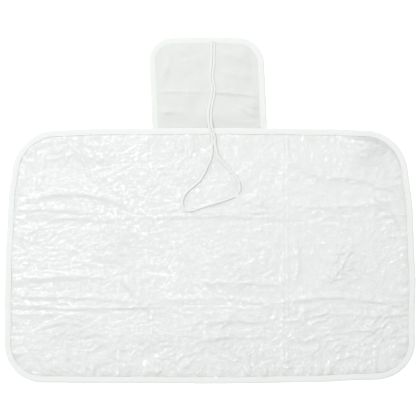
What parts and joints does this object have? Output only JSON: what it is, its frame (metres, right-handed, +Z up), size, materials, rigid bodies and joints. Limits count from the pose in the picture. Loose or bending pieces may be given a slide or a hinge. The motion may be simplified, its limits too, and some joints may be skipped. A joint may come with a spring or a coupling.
{
  "type": "barber cape",
  "caption": "Folding bound cape of clear film over white lining, with a cloth flap and an elastic loop that close the folded pack.",
  "frame": {"origin": "middle of the open cape with its flap, on the surface that it lies on; the loop isn't counted", "axes": "+X across the cape, +Y towards the flap, +Z up out of the film side"},
  "size_m": [0.615, 0.519, 0.0063],
  "materials": {
    "clear_film": "clear glossy crinkled film",
    "lining_cloth": "matte white cloth",
    "binding_tape": "white folded tape, slightly satin",
    "flap_cloth": "matte white cloth",
    "elastic": "white braided elastic"
  },
  "bodies": {
    "top_left": {"film_top_left": "clear_film", "lining_top_left": "lining_cloth", "binding_top_left": "binding_tape"},
    "top_centre": {"film_top_centre": "clear_film", "lining_top_centre": "lining_cloth", "binding_top_centre": "binding_tape"},
    "top_right": {"film_top_right": "clear_film", "lining_top_right": "lining_cloth", "binding_top_right": "binding_tape"},
    "middle_left": {"film_middle_left": "clear_film", "lining_middle_left": "lining_cloth", "binding_middle_left": "binding_tape"},
    "middle_centre": {"film_middle_centre": "clear_film", "lining_middle_centre": "lining_cloth"},
    "middle_right": {"film_middle_right": "clear_film", "lining_middle_right": "lining_cloth", "binding_middle_right": "binding_tape"},
    "bottom_left": {"film_bottom_left": "clear_film", "lining_bottom_left": "lining_cloth", "binding_bottom_left": "binding_tape"},
    "bottom_centre": {"film_bottom_centre": "clear_film", "lining_bottom_centre": "lining_cloth", "binding_bottom_centre": "binding_tape"},
    "bottom_right": {"film_bottom_right": "clear_film", "lining_bottom_right": "lining_cloth", "binding_bottom_right": "binding_tape"},
    "flap": {"flap_front": "flap_cloth", "flap_back": "flap_cloth", "flap_binding": "binding_tape"},
    "loop": {"elastic_loop": "elastic"}
  },
  "joints": [
    {"name": "upper_fold", "type": "hinge", "parent": "top_centre", "child": "middle_centre", "pos_m": [0, -0.0075, 0.01825], "axis": [-1, 0, 0], "range_deg": [0, 180]},
    {"name": "lower_fold", "type": "hinge", "parent": "middle_centre", "child": "bottom_centre", "pos_m": [0, -0.1425, 0.0116], "axis": [-1, 0, 0], "range_deg": [0, 180]},
    {"name": "left_fold", "type": "hinge", "parent": "top_centre", "child": "top_left", "pos_m": [-0.09, 0.0575, 0.00455], "axis": [0, 1, 0], "range_deg": [0, 180]},
    {"name": "left_fold_middle", "type": "hinge", "parent": "middle_centre", "child": "middle_left", "pos_m": [-0.09, -0.075, 0.0038], "axis": [0, 1, 0], "range_deg": [0, 180]},
    {"name": "left_fold_bottom", "type": "hinge", "parent": "bottom_centre", "child": "bottom_left", "pos_m": [-0.09, -0.2, 0.0038], "axis": [0, 1, 0], "range_deg": [0, 180]},
    {"name": "right_fold", "type": "hinge", "parent": "top_centre", "child": "top_right", "pos_m": [0.1125, 0.0575, 0.00645], "axis": [0, -1, 0], "range_deg": [0, 180]},
    {"name": "right_fold_middle", "type": "hinge", "parent": "middle_centre", "child": "middle_right", "pos_m": [0.1125, -0.075, 0.0057], "axis": [0, -1, 0], "range_deg": [0, 180]},
    {"name": "right_fold_bottom", "type": "hinge", "parent": "bottom_centre", "child": "bottom_right", "pos_m": [0.1125, -0.2, 0.0057], "axis": [0, -1, 0], "range_deg": [0, 180]},
    {"name": "flap_fold", "type": "hinge", "parent": "top_centre", "child": "flap", "pos_m": [0, 0.123, 0.02155], "axis": [1, 0, 0], "range_deg": [0, 180]},
    {"name": "loop_swing", "type": "hinge", "parent": "flap", "child": "loop", "pos_m": [0.0046, 0.2515, 0.00455], "axis": [-1, 0, 0], "range_deg": [0, 180]}
  ],
  "couplings": [
    {"joint": "left_fold_middle", "follows": "left_fold", "ratio": 1},
    {"joint": "left_fold_bottom", "follows": "left_fold", "ratio": 1},
    {"joint": "right_fold_middle", "follows": "right_fold", "ratio": 1},
    {"joint": "right_fold_bottom", "follows": "right_fold", "ratio": 1},
    {"joint": "loop_swing", "follows": "flap_fold", "ratio": 1}
  ]
}
